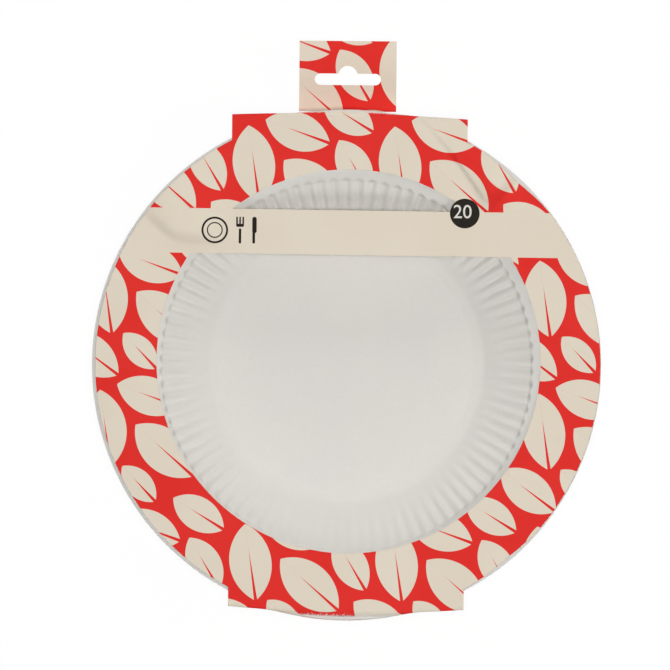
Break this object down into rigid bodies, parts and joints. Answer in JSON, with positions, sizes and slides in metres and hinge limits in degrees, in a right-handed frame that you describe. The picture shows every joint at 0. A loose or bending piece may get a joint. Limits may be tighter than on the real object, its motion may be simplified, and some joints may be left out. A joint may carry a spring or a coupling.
{
  "type": "stack of paper plates",
  "caption": "Retail stack of nested round fluted paper plates in a folded card sleeve with a round window, a band across it and a hang tab",
  "frame": {"origin": "where the plates' axis meets the surface that the pack lies on, on its back", "axes": "+Z out of the plates' open side through the front window, +Y towards the hang tab, +X to the right seen from the front"},
  "size_m": [0.2298, 0.2617, 0.0348],
  "materials": {
    "plate_paper": "uncoated white board, pressed, matte",
    "printed_card": "white board printed red and cream on its outer face, satin"
  },
  "bodies": {
    "root": {"plate_01": "plate_paper", "plate_02": "plate_paper", "plate_03": "plate_paper", "plate_04": "plate_paper", "plate_05": "plate_paper", "plate_06": "plate_paper", "plate_07": "plate_paper", "plate_08": "plate_paper", "plate_09": "plate_paper", "plate_10": "plate_paper", "plate_11": "plate_paper", "plate_12": "plate_paper", "plate_13": "plate_paper", "plate_14": "plate_paper", "plate_15": "plate_paper", "plate_16": "plate_paper", "plate_17": "plate_paper", "plate_18": "plate_paper", "plate_19": "plate_paper", "plate_20": "plate_paper", "card_sleeve": "printed_card"}
  },
  "joints": []
}
